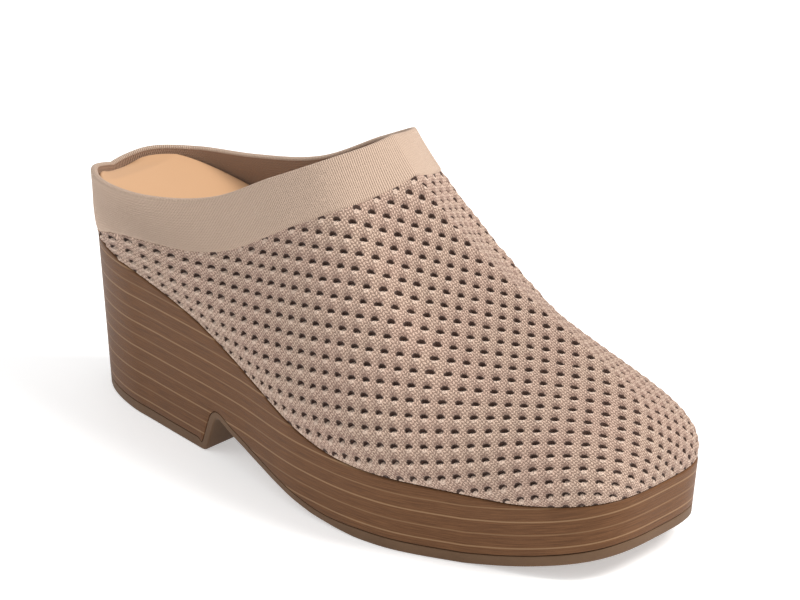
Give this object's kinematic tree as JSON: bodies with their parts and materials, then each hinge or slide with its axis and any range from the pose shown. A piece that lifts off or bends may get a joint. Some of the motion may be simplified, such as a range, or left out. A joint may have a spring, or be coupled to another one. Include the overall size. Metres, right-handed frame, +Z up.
{
  "type": "clog",
  "caption": "Slip-on mule clog for the right foot: knitted upper, low collar at the back, cushioned footbed, stacked platform with a block heel and a rubber outsole.",
  "frame": {"origin": "centre of the shoe's box on the plane it stands on", "axes": "+X towards the toe, +Y towards the inner (big toe) side, +Z up"},
  "size_m": [0.2538, 0.0952, 0.1226],
  "materials": {
    "outsole": "matt, brown-grey",
    "platform": "satin, thin stacked layers",
    "insole": "smooth, tan",
    "upper": "open knit with a close-knit collar band"
  },
  "bodies": {
    "root": {"outsole": "outsole", "platform": "platform", "insole": "insole", "upper": "upper"}
  },
  "joints": []
}
